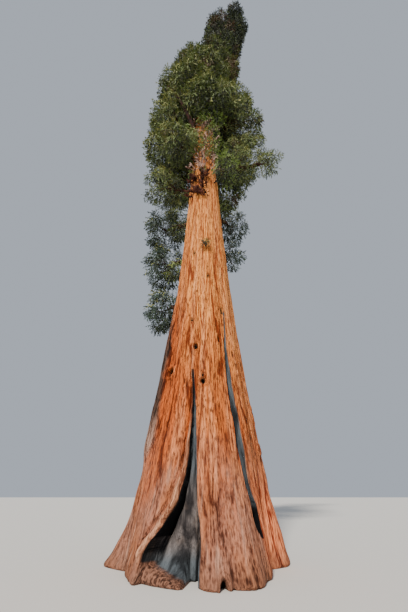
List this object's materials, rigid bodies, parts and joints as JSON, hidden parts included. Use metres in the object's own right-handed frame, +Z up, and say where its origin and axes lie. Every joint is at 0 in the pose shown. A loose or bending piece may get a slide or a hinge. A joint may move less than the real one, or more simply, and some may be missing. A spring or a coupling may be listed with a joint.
{
  "type": "giant sequoia tree",
  "caption": "Rooted old conifer with a buttressed, fire-hollowed foot, a tall clear leaning trunk and a narrow crown of rounded foliage masses.",
  "frame": {"origin": "middle of the flat cut under the trunk, at ground level", "axes": "+Z up the tree, -Y towards the front face with the fire hollow, +X to the right seen from the front"},
  "size_m": [6.9193, 5.4571, 40],
  "materials": {
    "bark": "deeply ridged fibrous cinnamon bark, charred in the fire scars",
    "limb_bark": "rough brown bark",
    "foliage": "matte scale-leaved evergreen sprays"
  },
  "bodies": {
    "root": {"trunk": "bark", "bough_1_back_left": "limb_bark", "bough_2_back_left": "limb_bark", "bough_2_back_right": "limb_bark", "bough_2_left": "limb_bark", "bough_2_right": "limb_bark", "bough_low_left_lower": "limb_bark", "bough_low_left_middle": "limb_bark", "bough_low_left_upper": "limb_bark", "bough_low_right_lower": "limb_bark", "bough_low_right_upper": "limb_bark", "bough_outer_right": "limb_bark", "foliage_10_back": "foliage", "foliage_10_front_left": "foliage", "foliage_10_front_right": "foliage", "foliage_11_back_right": "foliage", "foliage_11_front_left": "foliage", "foliage_1_back_left": "foliage", "foliage_2_back_left": "foliage", "foliage_2_back_right": "foliage", "foliage_2_left": "foliage", "foliage_2_right": "foliage", "foliage_3_back_left": "foliage", "foliage_3_back_right": "foliage", "foliage_3_front": "foliage", "foliage_3_front_left": "foliage", "foliage_3_front_right": "foliage", "foliage_4_back": "foliage", "foliage_4_back_left": "foliage", "foliage_4_front": "foliage", "foliage_4_right": "foliage", "foliage_5_back": "foliage", "foliage_5_front": "foliage", "foliage_5_front_left": "foliage", "foliage_5_right": "foliage", "foliage_6_back_right": "foliage", "foliage_6_front_left": "foliage", "foliage_6_front_right": "foliage", "foliage_6_left": "foliage", "foliage_7_back_left": "foliage", "foliage_7_back_right": "foliage", "foliage_7_front": "foliage", "foliage_7_front_left": "foliage", "foliage_8_back_right": "foliage", "foliage_8_front_right": "foliage", "foliage_8_left": "foliage", "foliage_9_back_right": "foliage", "foliage_9_front_right": "foliage", "foliage_9_left": "foliage", "foliage_low_left_lower": "foliage", "foliage_low_left_middle": "foliage", "foliage_low_left_upper": "foliage", "foliage_low_right_lower": "foliage", "foliage_low_right_upper": "foliage", "foliage_outer_right": "foliage", "foliage_skirt_front_left": "foliage", "foliage_skirt_front_right": "foliage", "foliage_skirt_left": "foliage", "foliage_skirt_right": "foliage", "foliage_top": "foliage"}
  },
  "joints": []
}
